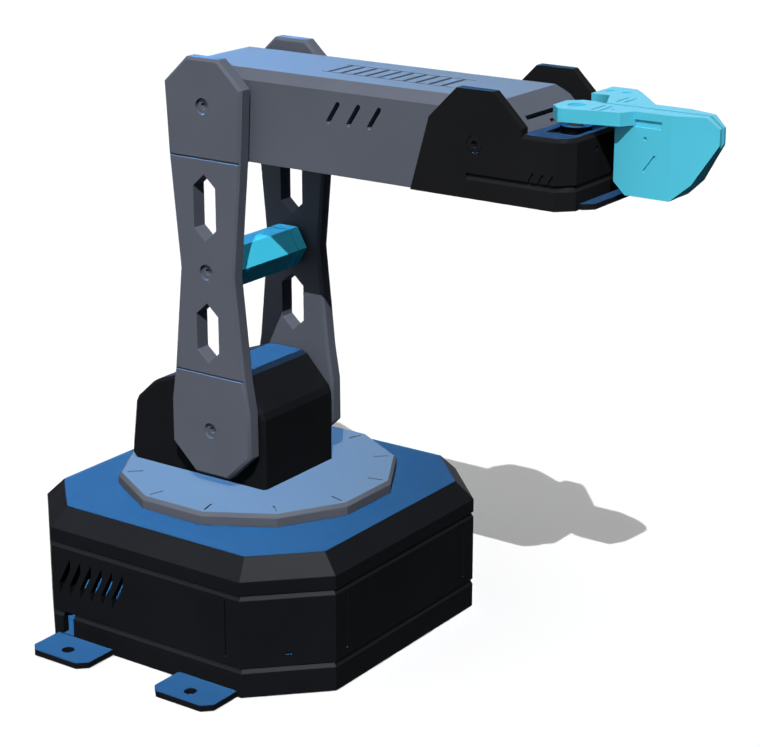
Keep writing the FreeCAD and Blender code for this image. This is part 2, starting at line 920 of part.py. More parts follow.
def link_window(low, high):
    outline = [(0, low), (window_half, low + window_tip), (window_half, high - window_tip),
               (0, high), (-window_half, high - window_tip), (-window_half, low + window_tip)]
    return prism("Y", outline, -link_out - past, -link_in + past)


def link_screw_heights():
    return [shoulder_z, middle_z, elbow_z]


def near_link():
    plate = prism("Y", link_outline(), -link_out, -link_in)
    rims = edges_on(plate, "Y", -link_out) + edges_on(plate, "Y", -link_in)
    plate = plate.makeChamfer(link_bevel, rims)
    upper = middle_z + window_offset
    lower = middle_z - window_offset
    cutters = [link_window(upper, upper + upper_window_length),
               link_window(lower - lower_window_length, lower)]
    outside = -link_out - past
    for z in link_screw_heights():
        cutters.append(rod("Y", (0, z), socket_radius + hole_clear, outside, -link_in + past))
        cutters.append(rod("Y", (0, z), counterbore_radius, outside, -link_out + link_counterbore_depth))
    for z in (elbow_z - link_neck_drop, shoulder_z + link_knee_rise):
        cutters.append(block(-link_foot_half, link_foot_half, outside, -link_out + groove_depth,
                             z - groove_width / 2, z + groove_width / 2))
    cutters += at(shoulder_seat, flange_seat(arm_reach)) + at(elbow_seat, flange_seat(arm_reach))
    return cut_all(plate, cutters)


def spacer_bar():
    outline = [(x, middle_z + z) for x, z in hexagon(spacer_radius, 0)]
    hex_half = link_in - spacer_neck_length
    bar = joined([prism("Y", outline, -hex_half, hex_half),
                  rod("Y", (0, middle_z), spacer_neck_radius, -link_in, link_in)])
    core = [(x, middle_z + z) for x, z in hexagon(spacer_radius - collar_groove, 0)]
    cutters = []
    for side in (-1, 1):
        line = side * (link_in - collar_length)
        ring = prism("Y", [(x, middle_z + z) for x, z in hexagon(spacer_radius + past, 0)],
                     line - groove_width / 2, line + groove_width / 2)
        cutters.append(ring.cut(prism("Y", core, line - groove_width, line + groove_width)))
        low, high = sorted((side * (link_in - socket_bite - tip_clear), side * (link_in + past)))
        cutters.append(rod("Y", (0, middle_z), socket_radius + thread_clear, low, high))
    return cut_all(bar, cutters)


# Socket screws from the outside of a link or cheek, one at each given place of (x, z)
def side_screws(places, outside, depth, thick):
    length = thick - depth + socket_bite
    screw = socket_screw(length)
    screws = []
    for x, z in places:
        screws.append(seated(screw, Vector(x, -outside + depth, z), near, forward))
        screws.append(seated(screw, Vector(x, outside - depth, z), far, forward))
    return screws


def link_screws():
    return side_screws([(0, z) for z in link_screw_heights()], link_out, link_counterbore_depth, link_thick)


# Forearm

def forearm_section():
    half = [(bay_half, -forearm_bottom), (bay_half, forearm_side_top), (forearm_top_half, forearm_top)]
    section = half + [(-y, z) for y, z in reversed(half)]
    return [(y, elbow_z + z) for y, z in section]


def forearm_profile():
    nose = [(nose_radius * math.cos(math.radians(turn)), nose_radius * math.sin(math.radians(turn)))
            for turn in (-90, -60, -30)]
    front = nose[-1][0]
    slope = [(front, forearm_top - (front - forearm_top_front)), (forearm_top_front, forearm_top)]
    profile = [(-forearm_back + forearm_back_bottom_cut, -forearm_bottom),
               (wrist_x - nose_back, -forearm_bottom)]
    profile += [(wrist_x + x, z) for x, z in nose + slope]
    profile += [(-forearm_back + forearm_back_top_cut, forearm_top),
                (-forearm_back, forearm_top - forearm_back_top_cut),
                (-forearm_back, -forearm_bottom + forearm_back_bottom_cut)]
    return [(x, elbow_z + z) for x, z in profile]


# A cutter across the sloping front of the forearm, a given way down that slope and to its side
def nose_slope_box(drop, side, half, width):
    step = drop / math.sqrt(2)
    center = Vector(wrist_x + forearm_top_front + step, side, elbow_z + forearm_top - step)
    deep = bay_wall + past
    box = Part.makeBox(2 * deep, 2 * half, width, Vector(-deep, -half, -width / 2))
    box.rotate(Vector(0, 0, 0), far, -45)
    return box.translated(center)


def floor_boss_places():
    elbow_end = servo_length - servo_shaft_inset
    wrist_end = wrist_x - servo_length + servo_shaft_inset
    return [(x, side * floor_boss_side) for x in (elbow_end + floor_boss_gap, wrist_end - floor_boss_gap)
            for side in (-1, 1)]


def forearm_room():
    section = shrunk(forearm_section(), bay_wall)
    profile = shrunk(forearm_profile(), bay_wall)
    low_x = -2 * forearm_back
    high_x = wrist_x + 2 * nose_radius
    return prism("X", section, low_x, high_x).common(prism("Y", profile, -bay_half, bay_half))


def forearm_floor_outline():
    back = -forearm_back + forearm_back_bottom_cut + bay_wall
    front = wrist_x - nose_back - bay_wall
    return back, front


def forearm_shell():
    shell = prism("X", forearm_section(), -2 * forearm_back, wrist_x + 2 * nose_radius)
    shell = shell.common(prism("Y", forearm_profile(), -bay_half - past, bay_half + past))
    room = forearm_room()
    back, front = forearm_floor_outline()
    bottom = elbow_z - forearm_bottom
    hatch = block(back, front, -bay_in, bay_in, bottom - past, bottom + 2 * bay_wall)
    roof = elbow_z + forearm_top - bay_wall / 2
    bosses = [rod("Z", spot, floor_boss_radius, bottom + forearm_floor_thick, roof)
              for spot in floor_boss_places()]
    shell = joined([shell.cut(room).cut(hatch)] + bosses)
    cutters = [rod("Z", spot, flat_radius + thread_clear, bottom, bottom + forearm_floor_thick + socket_bite)
               for spot in floor_boss_places()]
    for k in range(top_slot_count):
        x = top_slot_start + k * top_slot_pitch
        cutters.append(block(x - top_slot_width / 2, x + top_slot_width / 2, -top_slot_half, top_slot_half,
                             elbow_z + forearm_top - top_slot_depth, elbow_z + forearm_top + past))
    for y in (-top_line_side, top_line_side):
        cutters.append(block(top_line_start, top_line_end, y - top_line_width / 2, y + top_line_width / 2,
                             elbow_z + forearm_top - top_line_depth, elbow_z + forearm_top + past))
    for k in range(side_slot_count):
        x = side_slot_start + k * side_slot_pitch
        low = (x, elbow_z - side_slot_low)
        high = (x + side_slot_run, elbow_z - side_slot_low + side_slot_rise)
        slot = slot_cutter("Y", low, high, side_slot_width, -bay_half - past, -bay_in)
        cutters += [slot, mirrored(slot)]
    cutters.append(nose_slope_box(nose_slot_drop, 0, nose_slot_half, nose_slot_width))
    cutters.append(nose_slope_box(nose_notch_drop, nose_notch_side, nose_notch_half, nose_notch_width))
    cutters += at(elbow_seat, servo_wall_holes(bay_wall)) + at(wrist_seat, servo_wall_holes(bay_wall))
    cutters += at(elbow_far_seat, [bushing_wall_hole()]) + at(wrist_far_seat, [bushing_wall_hole()])
    return cut_all(shell, cutters)


def forearm_floor():
    back, front = forearm_floor_outline()
    bottom = elbow_z - forearm_bottom
    plate = block(back + seat_clear, front - seat_clear, -bay_in + seat_clear, bay_in - seat_clear,
                  bottom, bottom + forearm_floor_thick)
    holes = [seated(flat_hole(forearm_floor_thick + past), Vector(x, y, bottom), down, forward)
             for x, y in floor_boss_places()]
    middle = (back + front) / 2
    cable_slot = block(middle - cable_slot_length / 2, middle + cable_slot_length / 2, -cable_slot_width / 2,
                       cable_slot_width / 2, bottom - past, bottom + forearm_floor_thick + past)
    return cut_all(plate, holes + [cable_slot])


def forearm_floor_screws():
    screw = flat_screw(forearm_floor_thick + socket_bite - tip_clear)
    return [seated(screw, Vector(x, y, elbow_z - forearm_bottom), down, forward)
            for x, y in floor_boss_places()]


# Wrist bracket

def wrist_place(x, z):
    return (wrist_x + x, elbow_z + z)


# A plate beside the forearm's nose, with a round boss on its inside that carries the horn or the idler
def cheek():
    outline = [wrist_place(x, z) for x, z in (
        (-cheek_back, -block_bottom), (block_back, -block_bottom), (block_back, cheek_shoulder_rise),
        (cheek_top_front, cheek_top), (-cheek_top_back, cheek_top),
        (-cheek_shoulder_back, cheek_shoulder_rise))]
    plate = prism("Y", outline, -cheek_out, -cheek_in)
    boss = rod("Y", wrist_place(0, 0), horn_radius + seat_clear + cheek_boss_wall, -cheek_in, -wrist_in)
    return joined([plate, boss])


def block_outline(grow):
    back = wrist_x + block_back
    front = wrist_x + block_front + grow
    side = cheek_out + grow
    cut = block_corner_cut
    return [(back, -side), (front - cut, -side), (front, -side + cut), (front, side - cut),
            (front - cut, side), (back, side)]


def bracket_block():
    low = elbow_z - block_bottom
    body = prism("Z", block_outline(0), low, ledge_z)
    edges = [edge for edge in edges_on(body, "Z", ledge_z)
             if edge.CenterOfMass.x > wrist_x + block_back + 1e-6]
    return body.makeChamfer(block_edge_bevel, edges)


# A groove round the front and sides of the bracket, its lower side sloping outward
def bracket_band():
    top = elbow_z - band_top
    low = top - band_height
    start = wrist_x + band_start

    def loop(inset):
        front = wrist_x + block_front - inset
        side = cheek_out - inset
        cut = block_corner_cut - inset * (2 - math.sqrt(2))
        return [(start, -side), (front - cut, -side), (front, -side + cut),
                (front, side - cut), (front - cut, side), (start, side)]

    sill = prism("Z", loop(0), low - past, low + band_depth)
    edges = [edge for edge in edges_on(sill, "Z", low + band_depth) if edge.CenterOfMass.x > start + 1e-6]
    sill = sill.makeChamfer(band_depth, edges)
    core = joined([sill, prism("Z", loop(band_depth), low, top + past)])
    return prism("Z", loop(-past), low, top).cut(core)


micro_top = ledge_z - micro_drop
micro_near = -gripper_side - micro_width / 2
micro_far = micro_near + micro_length
micro_ear_top = micro_top - micro_ear_drop
micro_ear_bottom = micro_ear_top - micro_ear_thick


def micro_screw_places():
    return [(gripper_x, micro_near - micro_ear / 2), (gripper_x, micro_far + micro_ear / 2)]


def wrist_floor_screw_places():
    back = wrist_x + block_back + wrist_floor_screw_inset
    front = wrist_x + block_front - wrist_floor_screw_inset
    return [(x, side * wrist_floor_screw_side) for x in (back, front) for side in (-1, 1)]


def lip_outline(grow):
    back = wrist_x + block_back
    front = wrist_x + lip_front
    half = lip_half + grow
    return [(back, -half), (front - lip_corner_cut, -half), (front, -half + lip_corner_cut),
            (front, half - lip_corner_cut), (front - lip_corner_cut, half), (back, half)]


def micro_pocket():
    half = micro_width / 2 + micro_pocket_clear
    low = elbow_z - block_bottom
    body = block(gripper_x - half, gripper_x + half, micro_near - micro_pocket_clear,
                 micro_far + micro_pocket_clear, low - past, ledge_z + past)
    ears = block(gripper_x - half, gripper_x + half, micro_near - micro_ear - micro_pocket_clear,
                 micro_far + micro_ear + micro_pocket_clear, micro_ear_bottom, ledge_z + past)
    return joined([body, ears])


# Slanted tick marks on the bracket's near side
def cheek_ticks():
    ticks = []
    for k in range(cheek_tick_count):
        x, z = wrist_place(cheek_tick_start + k * cheek_tick_pitch, -cheek_tick_low)
        ticks.append(slot_cutter("Y", (x, z), (x + cheek_tick_run, z + cheek_tick_rise), groove_width,
                                 -cheek_out - past, -cheek_out + groove_depth))
    return ticks


def fixed_pin_places():
    return [(wrist_x + pin_front - k * pin_pitch, pin_side) for k in range(2)]


def wrist_bracket():
    near_cheek = cheek()
    bracket = joined([bracket_block(), near_cheek, mirrored(near_cheek)])
    low = elbow_z - block_bottom
    axis = wrist_place(0, 0)
    floor_seat = prism("Z", lip_outline(seat_clear), low - past, low + wrist_floor_thick)
    cutters = [bracket_band(), micro_pocket(), floor_seat]
    for side in (-1, 1):
        inner, outer = side * (wrist_in - past), side * (cheek_out + past)
        seat = side * (cheek_out - cheek_counterbore_depth)
        cutters.append(rod("Y", axis, socket_radius + hole_clear, min(inner, outer), max(inner, outer)))
        cutters.append(rod("Y", axis, counterbore_radius, min(seat, outer), max(seat, outer)))
    cutters += at(wrist_seat, flange_seat(wrist_reach)) + at(wrist_far_seat, flange_seat(wrist_reach))
    cutters += [rod("Z", spot, flat_radius + thread_clear, low, low + wrist_floor_thick + socket_bite)
                for spot in wrist_floor_screw_places()]
    cutters += [rod("Z", spot, flat_radius + thread_clear, micro_ear_bottom - micro_screw_bite - tip_clear,
                    micro_ear_bottom)
                for spot in micro_screw_places()]
    cutters += [rod("Z", spot, pin_radius + thread_clear, ledge_z - pin_depth, ledge_z + past)
                for spot in fixed_pin_places()]
    cutters.append(rod("X", (-peep_hole_side, elbow_z), peep_hole_radius,
                       wrist_x + block_front - peep_hole_depth, wrist_x + block_front + past))
    return cut_all(bracket, cutters + cheek_ticks())


def wrist_floor():
    low = elbow_z - block_bottom
    plate = prism("Z", lip_outline(0), low, low + wrist_floor_thick)
    holes = [seated(flat_hole(wrist_floor_thick + past), Vector(x, y, low), down, forward)
             for x, y in wrist_floor_screw_places()]
    return cut_all(plate, holes)


def wrist_floor_screws():
    screw = flat_screw(wrist_floor_thick + socket_bite - tip_clear)
    return [seated(screw, Vector(x, y, elbow_z - block_bottom), down, forward)
            for x, y in wrist_floor_screw_places()]


def wrist_screws():
    return side_screws([wrist_place(0, 0)], cheek_out, cheek_counterbore_depth, cheek_out - wrist_in)


# Gripper

def gripper_servo_case():
    half = micro_width / 2
    case = block(gripper_x - half, gripper_x + half, micro_near, micro_far,
                 micro_top - micro_depth, micro_top)
    ears = block(gripper_x - half, gripper_x + half, micro_near - micro_ear, micro_far + micro_ear,
                 micro_ear_bottom, micro_ear_top)
    axis = (gripper_x, -gripper_side)
    turret = rod("Z", axis, turret_radius, micro_top, ledge_z + turret_rise)
    case = joined([case, ears, turret])
    cutters = [rod("Z", axis, gripper_shaft_radius + running_clear, micro_top - gripper_shaft_seat,
                   ledge_z + turret_rise + past)]
    cutters += [rod("Z", spot, flat_radius + hole_clear, micro_ear_bottom - past, micro_ear_top + past)
                for spot in micro_screw_places()]
    return cut_all(case, cutters)


def gripper_servo_screws():
    screw = socket_screw(micro_ear_thick + micro_screw_bite, flat_radius, flat_head_radius)
    return [seated(screw, Vector(x, y, micro_ear_top), up, forward) for x, y in micro_screw_places()]


lever_top = elbow_z + jaw_top
lever_low = elbow_z + jaw_lever_bottom
lever_hole_floor = lever_top - lever_hole_depth


def gripper_shaft():
    axis = (gripper_x, -gripper_side)
    shaft = rod("Z", axis, gripper_shaft_radius, micro_top - gripper_shaft_seat + hub_lift, lever_hole_floor)
    return shaft.cut(rod("Z", axis, center_screw_radius + thread_clear,
                         lever_hole_floor - center_screw_length - tip_clear, lever_top))


def gripper_center_screw():
    screw = socket_screw(center_screw_length, center_screw_radius, socket_head_radius)
    return seated(screw, Vector(gripper_x, -gripper_side, lever_hole_floor), up, forward)


# The far jaw's blade: the outline seen from the side, with the outer face drawn in towards the tip
def jaw_blade():
    outline = [wrist_place(x, z) for x, z in (
        (jaw_back, jaw_top), (jaw_back, -jaw_back_low), (jaw_heel, -jaw_bottom), (jaw_toe, -jaw_bottom),
        (jaw_chin, -jaw_chin_low), (jaw_tip, jaw_tip_low), (jaw_tip, jaw_tip_high), (jaw_brow, jaw_top))]
    plan = [(wrist_x + x, y) for x, y in (
        (jaw_back, jaw_seam), (jaw_tip, jaw_seam), (jaw_tip, jaw_tip_thick), (jaw_taper_start, jaw_thick),
        (jaw_back, jaw_thick))]
    blade = prism("Y", outline, jaw_seam, jaw_thick)
    return blade.common(prism("Z", plan, elbow_z - 2 * jaw_bottom, elbow_z + 2 * jaw_top))


# Shallow marks on the blade's outer face
def blade_marks():
    low, high = jaw_thick - jaw_mark_depth, jaw_thick + past
    x, z = wrist_place(jaw_slot_start, jaw_slot_high)
    marks = [block(x, x + jaw_slot_length, low, high, z - jaw_slot_height, z)]
    marks.append(rod("Y", wrist_place(jaw_dot_front, jaw_dot_rise), jaw_dot_radius, low, high))
    start = wrist_place(jaw_slash_front, jaw_slash_rise)
    end = (start[0] - jaw_slash_run, start[1] - jaw_slash_drop)
    marks.append(slot_cutter("Y", start, end, groove_width, low, high))
    return marks


# Two short grooves across the top of a jaw
def top_grooves(side):
    ends = sorted((side * lever_groove_inner, side * lever_groove_outer))
    grooves = []
    for k in range(2):
        x = wrist_x + lever_groove_front + k * lever_groove_pitch
        grooves.append(block(x - groove_width / 2, x + groove_width / 2, ends[0], ends[1],
                             lever_top - groove_depth, lever_top + past))
    return grooves


def fixed_jaw():
    plan = [(wrist_x + x, y) for x, y in (
        (wing_back, wing_inner), (wing_inner_front, wing_inner), (gripper_reach + lever_back, jaw_seam),
        (wing_end, jaw_seam), (wing_end, jaw_thick),
        (wing_corner_front + wing_corner_cut, wing_side - wing_corner_cut),
        (wing_corner_front, wing_side), (wing_back, wing_side))]
    wing = prism("Z", plan, ledge_z, lever_top)
    jaw = joined([wing, jaw_blade()])
    pins = [rod("Z", spot, pin_radius + thread_clear, ledge_z - past, lever_top + past)
            for spot in fixed_pin_places()]
    return cut_all(jaw, pins + blade_marks() + top_grooves(1))


def fixed_jaw_pins():
    return [rod("Z", spot, pin_radius, ledge_z - pin_depth, lever_top - pin_recess)
            for spot in fixed_pin_places()]


def moving_jaw():
    axis = (gripper_x, -gripper_side)
    back = gripper_x - lever_back
    near_side = -gripper_side - lever_half
    far_side = -gripper_side + lever_half
    front = gripper_x + lever_back
    plan = [(back, near_side + lever_corner), (back + lever_corner, near_side), (gripper_x, near_side),
            (wrist_x + lever_end, -lever_end_half), (wrist_x + wing_end, -jaw_thick),
            (wrist_x + wing_end, -jaw_seam), (front, -jaw_seam), (front - lever_corner, far_side),
            (back + lever_corner, far_side), (back, far_side - lever_corner)]
    lever = prism("Z", plan, lever_low, lever_top)
    jaw = joined([lever, mirrored(jaw_blade())])
    cutters = [rod("Z", axis, gripper_shaft_radius + thread_clear, lever_low - past, lever_top),
               rod("Z", axis, lever_hole_radius, lever_hole_floor, lever_top + past),
               rod("Z", (wrist_x + lever_dot_front, -lever_dot_side), jaw_dot_radius,
                   lever_top - groove_depth, lever_top + past)]
    cutters += [mirrored(mark) for mark in blade_marks()] + top_grooves(-1)
    return cut_all(jaw, cutters)


# Every piece by name, as a list of its solids

def all_pieces():
    link = near_link()
    return {
        "base_plate": [base_plate()],
        "base_body": [base_body()],
        "base_lid": [base_lid()],
        "base_screws": base_screws(),
        "yaw_servo_case": at(yaw_seat, [servo_case()]),
        "yaw_servo_screws": at(yaw_seat, servo_screws(lid_thick)),
        "bearing_balls": bearing_balls(),
        "ball_cage": [ball_cage()],
        "controller_board": [controller_board()],
        "controller_chip": [controller_chip()],
        "servo_headers": servo_headers(),
        "power_terminal": [power_terminal()],
        "capacitors": capacitors(),
        "board_standoffs": board_standoffs(),
        "board_screws": board_screws(),
        "turntable_disc": [turntable_disc()],
        "yaw_shaft": at(yaw_seat, [output_shaft(yaw_reach)]),
        "yaw_horn": at(yaw_seat, [servo_horn(yaw_reach)]),
        "yaw_horn_screws": at(yaw_seat, horn_screws(yaw_reach)),
        "yaw_center_screw": [yaw_center_screw()],
        "shoulder_housing": [shoulder_housing()],
        "housing_screws": housing_screws(),
        "shoulder_servo_case": at(shoulder_seat, [servo_case()]),
        "shoulder_servo_screws": at(shoulder_seat, servo_screws(bay_wall)),
        "shoulder_bushing": at(shoulder_far_seat, [bushing()]),
        "near_link": [link],
        "far_link": [mirrored(link)],
        "spacer_bar": [spacer_bar()],
        "link_screws": link_screws(),
        "shoulder_shaft": at(shoulder_seat, [output_shaft(arm_reach)]),
        "elbow_shaft": at(elbow_seat, [output_shaft(arm_reach)]),
        "shoulder_horn": at(shoulder_seat, [servo_horn(arm_reach)]),
        "elbow_horn": at(elbow_seat, [servo_horn(arm_reach)]),
        "shoulder_idler": at(shoulder_far_seat, [idler_hub(arm_reach)]),
        "elbow_idler": at(elbow_far_seat, [idler_hub(arm_reach)]),
        "arm_horn_screws": [screw for seat in (shoulder_seat, elbow_seat, shoulder_far_seat, elbow_far_seat)
                            for screw in at(seat, horn_screws(arm_reach))],
        "forearm_shell": [forearm_shell()],
        "forearm_floor": [forearm_floor()],
        "forearm_floor_screws": forearm_floor_screws(),
        "elbow_servo_case": at(elbow_seat, [servo_case()]),
        "elbow_servo_screws": at(elbow_seat, servo_screws(bay_wall)),
        "elbow_bushing": at(elbow_far_seat, [bushing()]),
        "wrist_servo_case": at(wrist_seat, [servo_case()]),
        "wrist_servo_screws": at(wrist_seat, servo_screws(bay_wall)),
        "wrist_bushing": at(wrist_far_seat, [bushing()]),
        "wrist_bracket": [wrist_bracket()],
        "wrist_floor": [wrist_floor()],
        "wrist_floor_screws": wrist_floor_screws(),
        "wrist_shaft": at(wrist_seat, [output_shaft(wrist_reach)]),
        "wrist_horn": at(wrist_seat, [servo_horn(wrist_reach)]),
        "wrist_idler": at(wrist_far_seat, [idler_hub(wrist_reach)]),
        "wrist_horn_screws": [screw for seat in (wrist_seat, wrist_far_seat)
                              for screw in at(seat, horn_screws(wrist_reach))],
        "wrist_screws": wrist_screws(),
        "gripper_servo_case": [gripper_servo_case()],
        "gripper_servo_screws": gripper_servo_screws(),
        "fixed_jaw": [fixed_jaw()],
        "fixed_jaw_pins": fixed_jaw_pins(),
        "moving_jaw": [moving_jaw()],
        "gripper_shaft": [gripper_shaft()],
        "gripper_center_screw": [gripper_center_screw()],
    }


os.makedirs("parts", exist_ok=True)
for name, solids in all_pieces().items():
    shape = solids[0] if len(solids) == 1 else Part.makeCompound(solids)
    shape.exportStep("parts/" + name + ".step")
    print(name, len(shape.Solids), "solids,", round(shape.Volume, 1), "mm3")
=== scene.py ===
import bmesh
import bpy
import json
import math
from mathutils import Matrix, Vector


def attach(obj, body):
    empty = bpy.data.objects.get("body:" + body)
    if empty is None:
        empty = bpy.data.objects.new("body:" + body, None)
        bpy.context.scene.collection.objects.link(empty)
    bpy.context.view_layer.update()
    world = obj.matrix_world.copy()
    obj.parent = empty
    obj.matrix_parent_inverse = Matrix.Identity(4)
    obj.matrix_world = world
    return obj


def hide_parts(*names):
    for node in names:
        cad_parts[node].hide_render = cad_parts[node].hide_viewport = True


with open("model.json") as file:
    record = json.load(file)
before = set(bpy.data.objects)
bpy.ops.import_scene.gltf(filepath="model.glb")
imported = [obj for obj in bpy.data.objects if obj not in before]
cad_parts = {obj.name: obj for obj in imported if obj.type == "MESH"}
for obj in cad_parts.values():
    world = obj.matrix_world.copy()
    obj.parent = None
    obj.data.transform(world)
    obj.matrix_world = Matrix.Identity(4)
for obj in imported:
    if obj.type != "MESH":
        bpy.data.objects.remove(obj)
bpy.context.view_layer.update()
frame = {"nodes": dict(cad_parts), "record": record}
mm = 0.001
print("frame loaded,", len(frame["nodes"]), "nodes")


# noise mostly stays between the low and the high level
noiseLow = 0.3
noiseHigh = 0.7
driftDetail = 2.0
grainDetail = 4.0
lineDetail = 3.0
roughNoise = 0.6


# small helpers for shader nodes

def startMaterial(name):
    material = bpy.data.materials.new(name)
    material.use_nodes = True
    tree = material.node_tree
    return material, tree, tree.nodes["Principled BSDF"]


def objectCoordinates(tree):
    return tree.nodes.new("ShaderNodeTexCoord").outputs["Object"]


def noiseField(tree, coordinates, scale, detail, roughness=0.5):
    noise = tree.nodes.new("ShaderNodeTexNoise")
    noise.inputs["Scale"].default_value = scale
    noise.inputs["Detail"].default_value = detail
    noise.inputs["Roughness"].default_value = roughness
    tree.links.new(coordinates, noise.inputs["Vector"])
    return noise.outputs["Fac"]


def blendedColour(tree, amount, first, second, low=0.35, high=0.65):
    ramp = tree.nodes.new("ShaderNodeValToRGB")
    ramp.color_ramp.elements[0].position = low
    ramp.color_ramp.elements[0].color = (*first, 1)
    ramp.color_ramp.elements[1].position = high
    ramp.color_ramp.elements[1].color = (*second, 1)
    tree.links.new(amount, ramp.inputs["Fac"])
    return ramp.outputs["Color"]


def remapped(tree, amount, start, end, low, high):
    change = tree.nodes.new("ShaderNodeMapRange")
    change.inputs["From Min"].default_value = start
    change.inputs["From Max"].default_value = end
    change.inputs["To Min"].default_value = low
    change.inputs["To Max"].default_value = high
    tree.links.new(amount, change.inputs["Value"])
    return change.outputs["Result"]


def bumped(tree, height, depth, strength):
    bump = tree.nodes.new("ShaderNodeBump")
    bump.inputs["Strength"].default_value = strength
    bump.inputs["Distance"].default_value = depth
    tree.links.new(height, bump.inputs["Height"])
    return bump.outputs["Normal"]


def heightOf(tree, vector):
    split = tree.nodes.new("ShaderNodeSeparateXYZ")
    tree.links.new(vector, split.inputs["Vector"])
    return split.outputs["Z"]


# painted light: faces that look up get a paler colour, a painted highlight that stands in for the light's
# sheen and glare on top faces
def paintedLightAbove(tree, colour, upward, steepest, flattest):
    mix = tree.nodes.new("ShaderNodeMix")
    mix.data_type = "RGBA"
    normal = tree.nodes.new("ShaderNodeTexCoord").outputs["Normal"]
    tree.links.new(remapped(tree, heightOf(tree, normal), steepest, flattest, 0.0, 1.0), mix.inputs[0])
    tree.links.new(colour, mix.inputs[6])
    mix.inputs[7].default_value = (*upward, 1)
    return mix.outputs[2]


dullBlend = 0.05 * mm


# quite matt below a height
def dulledBelow(tree, coordinates, rough, height):
    duller = tree.nodes.new("ShaderNodeMath")
    duller.operation = "MAXIMUM"
    tree.links.new(rough, duller.inputs[0])
    tree.links.new(remapped(tree, heightOf(tree, coordinates), height, height + dullBlend, 1.0, 0.0),
                   duller.inputs[1])
    return duller.outputs["Value"]


plasticIor = 1.5
levelFaces = (0.85, 0.98)  # upward part of the normal where the painted top light starts and is full


# moulded plastic: a slow drift of colour, a fine spark grain and a little unevenness of gloss
def mouldedPlastic(name, look):
    material, tree, shader = startMaterial(name)
    coordinates = objectCoordinates(tree)
    drift = noiseField(tree, coordinates, look["driftScale"], driftDetail)
    grain = noiseField(tree, coordinates, look["grainScale"], grainDetail, roughNoise)
    colour = blendedColour(tree, drift, look["deep"], look["pale"])
    # painted light: where a look gives an upward colour, faces that look up take it as a painted highlight
    if "upward" in look:
        steepest, flattest = look.get("paintedLightRange", levelFaces)
        colour = paintedLightAbove(tree, colour, look["upward"], steepest, flattest)
    tree.links.new(colour, shader.inputs["Base Color"])
    rough = remapped(tree, grain, noiseLow, noiseHigh, look["roughLow"], look["roughHigh"])
    if "dullBelow" in look:
        rough = dulledBelow(tree, coordinates, rough, look["dullBelow"])
    tree.links.new(rough, shader.inputs["Roughness"])
    tree.links.new(bumped(tree, grain, look["grainDepth"], look["grainStrength"]), shader.inputs["Normal"])
    shader.inputs["IOR"].default_value = plasticIor
    shader.inputs["Specular IOR Level"].default_value = look["gloss"]
    return material


blackLook = {
    "deep": (0.0088, 0.0097, 0.0114),
    "pale": (0.0104, 0.0113, 0.0132),
    "driftScale": 38.0,
    "grainScale": 1900.0,
    "grainDepth": 0.02 * mm,
    "grainStrength": 0.25,
    "roughLow": 0.31,
    "roughHigh": 0.37,
    "gloss": 0.001,
}
plateLook = dict(blackLook, gloss=0.00118)
housingLook = dict(blackLook, gloss=0.00076)
wristLook = dict(blackLook, deep=(0.0121, 0.0125, 0.0134), pale=(0.0137, 0.0141, 0.0152), gloss=0.00032)
greyLook = {
    "deep": (0.104, 0.116, 0.146),
    "pale": (0.112, 0.124, 0.158),
    "driftScale": 32.0,
    "grainScale": 1900.0,
    "grainDepth": 0.02 * mm,
    "grainStrength": 0.25,
    "roughLow": 0.31,
    "roughHigh": 0.37,
    "gloss": 0.0006,
}
# painted light: the upward colours of turntable and forearm paint a paler top, standing in for the light's
# sheen
turntableLook = dict(greyLook, upward=(0.129, 0.158, 0.173), gloss=0.0009)
forearmLook = dict(greyLook, upward=(0.158, 0.180, 0.186), gloss=0.00040)
cyanLook = {
    "deep": (0.090, 0.580, 0.770),
    "pale": (0.098, 0.605, 0.800),
    "driftScale": 45.0,
    "grainScale": 2100.0,
    "grainDepth": 0.015 * mm,
    "grainStrength": 0.2,
    "roughLow": 0.31,
    "roughHigh": 0.37,
    "gloss": 0.00022,
}
# painted light: the jaws' and spacer's upward colours paint paler tops; on the jaws this reaches half-tilted
# slopes
jawLook = dict(cyanLook, upward=(0.165, 0.510, 0.640), paintedLightRange=(0.3, 0.7))
spacerLook = dict(cyanLook, deep=(0.056, 0.575, 0.830), pale=(0.062, 0.600, 0.860),
                  upward=(0.035, 0.490, 0.680), gloss=0.00062)
blackPlastic = mouldedPlastic("blackPlastic", blackLook)
plateBlack = mouldedPlastic("plateBlack", plateLook)
housingBlack = mouldedPlastic("housingBlack", housingLook)
wristBlack = mouldedPlastic("wristBlack", wristLook)
greyPlastic = mouldedPlastic("greyPlastic", greyLook)
turntableGrey = mouldedPlastic("turntableGrey", turntableLook)
forearmGrey = mouldedPlastic("forearmGrey", forearmLook)
jawCyan = mouldedPlastic("jawCyan", jawLook)
spacerCyan = mouldedPlastic("spacerCyan", spacerLook)

# plastics inside the shells
motorLook = dict(blackLook, deep=(0.012, 0.012, 0.014), pale=(0.018, 0.018, 0.020), gloss=0.0)
partsLook = dict(blackLook, deep=(0.016, 0.016, 0.018), pale=(0.026, 0.026, 0.028), gloss=0.0025)
cageLook = dict(blackLook, deep=(0.30, 0.28, 0.22), pale=(0.36, 0.33, 0.27), gloss=0.0)
turretLook = dict(blackLook, deep=(0.006, 0.007, 0.010), pale=(0.008, 0.009, 0.013), gloss=0.00045,
                  dullBelow=210.2 * mm)
motorPlastic = mouldedPlastic("motorPlastic", motorLook)
boardBlack = mouldedPlastic("boardParts", partsLook)
cageNylon = mouldedPlastic("cageNylon", cageLook)
microPlastic = mouldedPlastic("smallMotorPlastic", turretLook)

